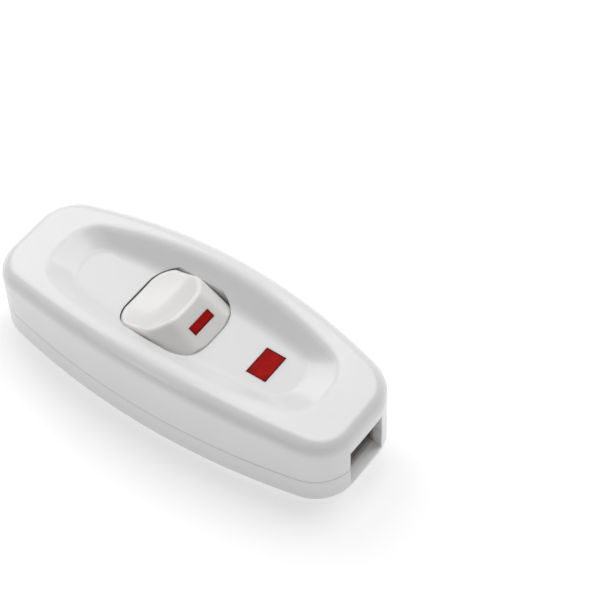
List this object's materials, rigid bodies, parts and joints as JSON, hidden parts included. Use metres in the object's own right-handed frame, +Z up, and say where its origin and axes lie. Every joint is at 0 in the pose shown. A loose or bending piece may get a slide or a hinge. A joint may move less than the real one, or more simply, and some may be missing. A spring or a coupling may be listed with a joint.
{
  "type": "inline cord switch",
  "caption": "white inline cord switch with an arched rim, a dished thumb recess, a rocker with a scooped pad, red position fields and a square cord inlet in each end",
  "frame": {"origin": "centre of the underside", "axes": "+X along the switch towards the end with the red field, +Y to the back, +Z up"},
  "size_m": [0.08, 0.0322, 0.0192],
  "materials": {
    "housing_white": "smooth gloss moulded plastic",
    "rocker_white": "smooth gloss moulded plastic, a little warmer",
    "mark_red": "flat red paint",
    "nylon": "natural nylon",
    "clamp_plastic": "matt moulded plastic",
    "spring_steel": "drawn wire",
    "zinc_steel": "bright zinc plate",
    "copper": "stamped copper alloy strip",
    "brass": "stamped and turned brass",
    "silver": "silver alloy contact"
  },
  "bodies": {
    "housing": {"cover": "housing_white", "base": "housing_white", "cover_mark": "mark_red", "fulcrum_terminal": "brass", "contact_terminal": "brass", "fixed_contact": "silver", "neutral_link": "brass", "line_screws": "zinc_steel", "neutral_screws": "zinc_steel", "cord_clamp_near": "clamp_plastic", "cord_clamp_far": "clamp_plastic", "clamp_screws_near": "zinc_steel", "clamp_screws_far": "zinc_steel", "housing_screws": "zinc_steel"},
    "rocker": {"rocker": "rocker_white", "rocker_mark": "mark_red", "plunger_spring": "spring_steel"},
    "plunger": {"plunger": "nylon"},
    "contact_bridge": {"contact_bridge": "copper", "bridge_contact": "silver"}
  },
  "joints": [
    {"name": "rocker_tilt", "type": "hinge", "parent": "housing", "child": "rocker", "pos_m": [-0.00305, 0, 0.01165], "axis": [0, 1, 0], "range_deg": [0, 16]},
    {"name": "plunger_slide", "type": "slide", "parent": "rocker", "child": "plunger", "axis": [-0.1392, 0, 0.9903], "range_m": [0, 0.0006], "stiffness_N_per_m": 400, "springref_m": -0.004, "deforming": ["plunger_spring"]},
    {"name": "bridge_tilt", "type": "hinge", "parent": "housing", "child": "contact_bridge", "pos_m": [-0.00305, 0, 0.00558], "axis": [0, 1, 0], "range_deg": [-12, 0]}
  ],
  "couplings": [
    {"joint": "bridge_tilt", "follows": "rocker_tilt", "ratio": -0.75}
  ]
}
